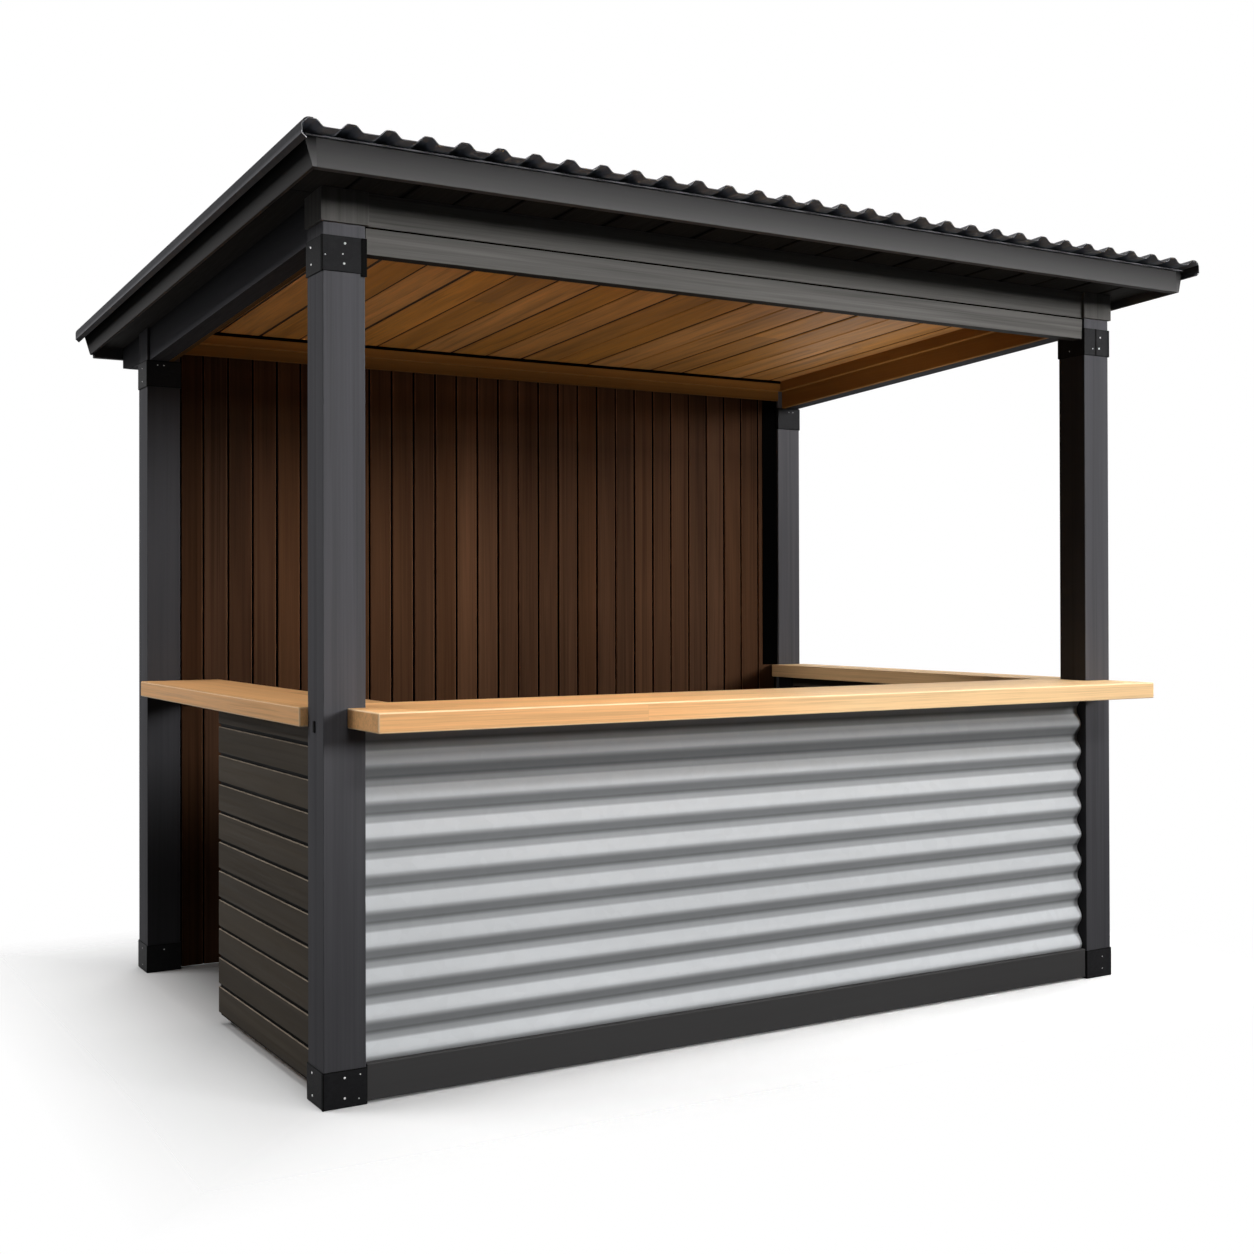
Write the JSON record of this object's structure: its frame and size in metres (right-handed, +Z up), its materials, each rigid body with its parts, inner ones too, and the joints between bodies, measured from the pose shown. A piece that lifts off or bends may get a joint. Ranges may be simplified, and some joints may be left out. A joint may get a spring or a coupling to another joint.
{
  "type": "open bar gazebo",
  "caption": "Open timber bar gazebo with a low-pitch corrugated roof on square posts, a boarded back wall, a counter on three sides and a corrugated metal bar front.",
  "frame": {"origin": "on the ground, under the middle of the roof's plan", "axes": "+X along the bar front to the right as a customer sees it, -Y towards the customer, +Z up"},
  "size_m": [3.28, 2.548, 2.5342],
  "materials": {
    "charcoal_timber": "charcoal stained timber with fine grain, satin",
    "black_steel": "black powder coat, satin",
    "ceiling_wood": "oiled natural boards",
    "dark_soffit": "dark stained boards, matt",
    "roof_metal": "dark grey coated sheet, satin",
    "walnut_boards": "dark walnut stained boards, satin",
    "panel_boards": "dark brown stained boards, satin",
    "galvanised_steel": "galvanised, soft sheen",
    "honey_wood": "oiled pale butcher-block boards, satin"
  },
  "bodies": {
    "root": {"post_front_left": "charcoal_timber", "post_front_right": "charcoal_timber", "post_back_left": "charcoal_timber", "post_back_right": "charcoal_timber", "base_shoe_front_left": "black_steel", "base_shoe_front_right": "black_steel", "base_shoe_back_left": "black_steel", "base_shoe_back_right": "black_steel", "top_sleeve_front_left": "black_steel", "top_sleeve_front_right": "black_steel", "top_sleeve_back_left": "black_steel", "top_sleeve_back_right": "black_steel", "post_blocks": "charcoal_timber", "front_beam": "charcoal_timber", "front_frieze": "charcoal_timber", "side_beam_left": "charcoal_timber", "side_beam_right": "charcoal_timber", "back_beam": "charcoal_timber", "rafter_tails": "charcoal_timber", "back_trim": "ceiling_wood", "side_lining_left": "ceiling_wood", "side_lining_right": "ceiling_wood", "ceiling": "ceiling_wood", "soffit_front": "dark_soffit", "soffit_back": "dark_soffit", "side_soffits": "dark_soffit", "fascia_front": "charcoal_timber", "fascia_back": "charcoal_timber", "fascia_left": "charcoal_timber", "fascia_right": "charcoal_timber", "front_drip_edge": "roof_metal", "roof_sheet": "roof_metal", "barge_trim_left": "roof_metal", "barge_trim_right": "roof_metal", "back_wall": "walnut_boards", "left_panel": "panel_boards", "left_panel_stud": "panel_boards", "right_panel": "panel_boards", "front_sheet": "galvanised_steel", "front_skirt": "charcoal_timber", "front_rail": "panel_boards", "counter_front": "honey_wood", "counter_left": "honey_wood", "counter_right": "honey_wood"}
  },
  "joints": []
}
